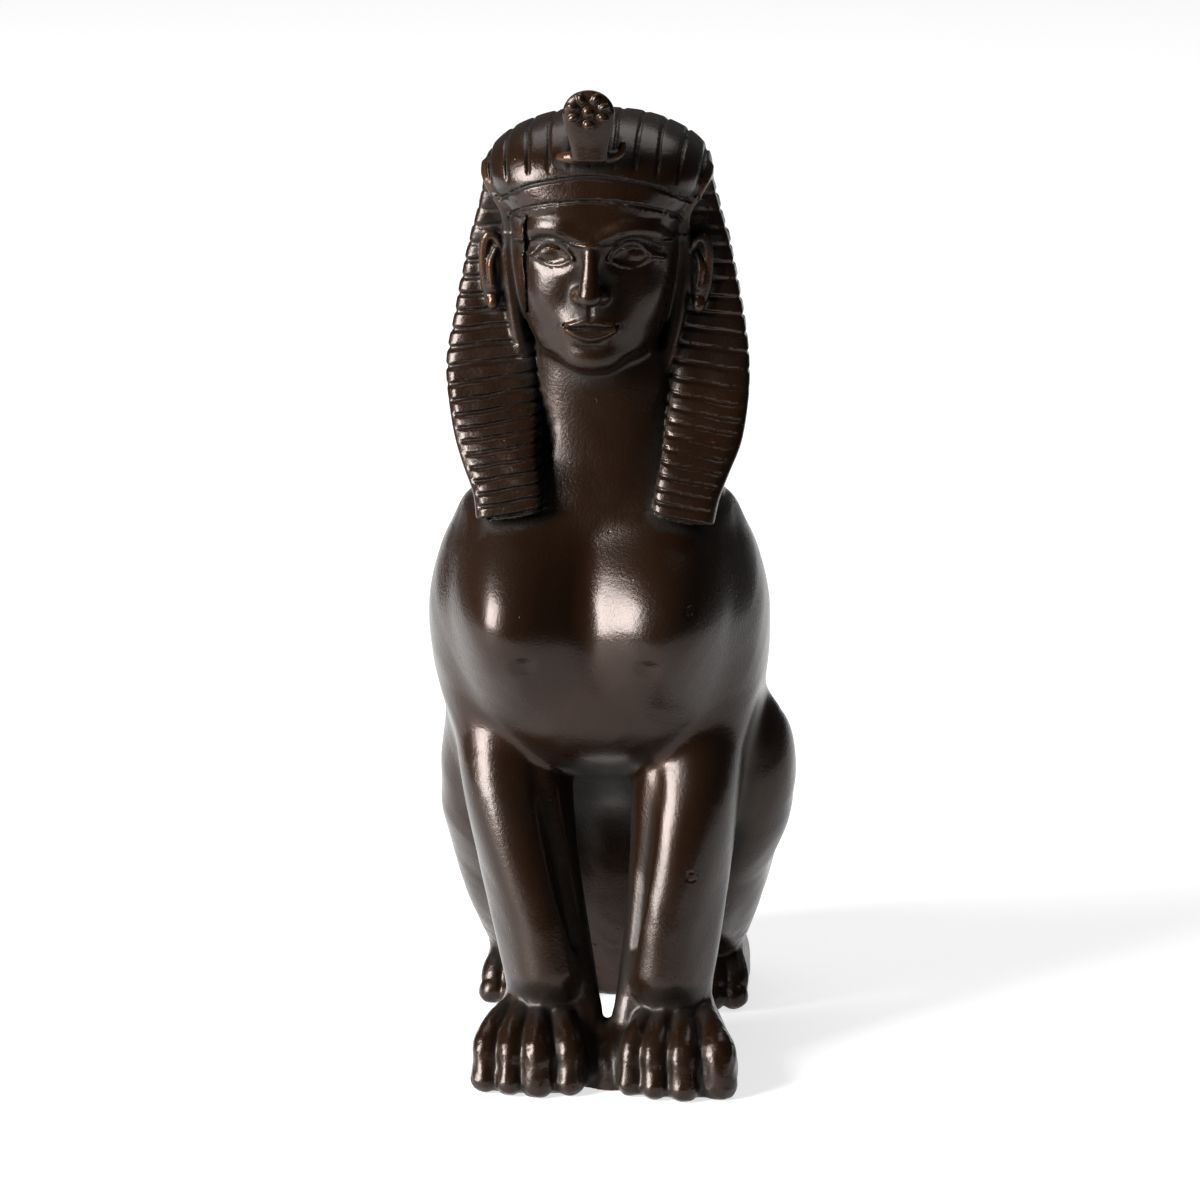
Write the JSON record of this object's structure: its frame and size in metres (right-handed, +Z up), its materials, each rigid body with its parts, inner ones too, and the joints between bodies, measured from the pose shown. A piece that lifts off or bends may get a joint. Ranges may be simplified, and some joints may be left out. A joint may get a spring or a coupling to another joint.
{
  "type": "sphinx statuette",
  "caption": "Seated sphinx cast in bronze: lion's body, woman's bust, pleated headcloth with a rearing cobra; it stands on its own paws.",
  "frame": {"origin": "on the floor under the middle of the sphinx's outline", "axes": "+Z up; the sphinx faces -Y; +X is on the right of someone who looks it in the face"},
  "size_m": [0.089, 0.1324, 0.24],
  "materials": {
    "bronze": "dark brown patina over cast bronze, rubbed to a warm amber brown on the high places, semi-gloss wax"
  },
  "bodies": {
    "root": {"sphinx": "bronze"}
  },
  "joints": []
}
